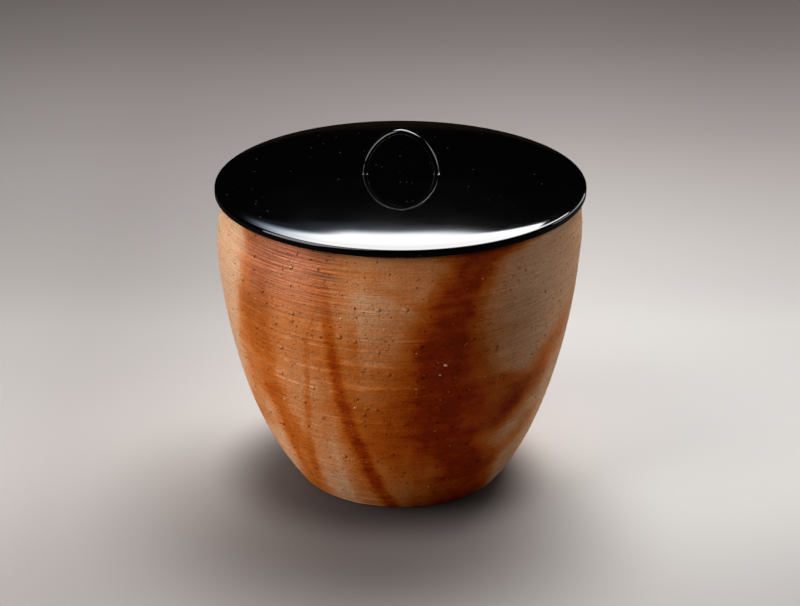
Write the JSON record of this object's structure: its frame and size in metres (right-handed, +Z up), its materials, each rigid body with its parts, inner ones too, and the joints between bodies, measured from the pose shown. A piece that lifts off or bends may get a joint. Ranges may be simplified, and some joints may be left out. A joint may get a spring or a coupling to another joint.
{
  "type": "tea ceremony water jar",
  "caption": "Round stoneware water jar that tapers to a flat base, with a lift-off lacquered lid and a bent arch handle.",
  "frame": {"origin": "middle of the jar's flat base, on the surface that it stands on", "axes": "+Z up along the jar's axis, +X along the handle's span from foot to foot, -Y towards the viewer"},
  "size_m": [0.19, 0.19, 0.188],
  "materials": {
    "stoneware": "matte",
    "black_lacquer": "polished"
  },
  "bodies": {
    "jar": {"jar_body": "stoneware"},
    "lid": {"lid_panel": "black_lacquer", "lid_handle": "black_lacquer"}
  },
  "joints": [
    {"name": "lid_lift", "type": "slide", "parent": "jar", "child": "lid", "axis": [0, 0, 1], "range_m": [0, 0.2]}
  ]
}
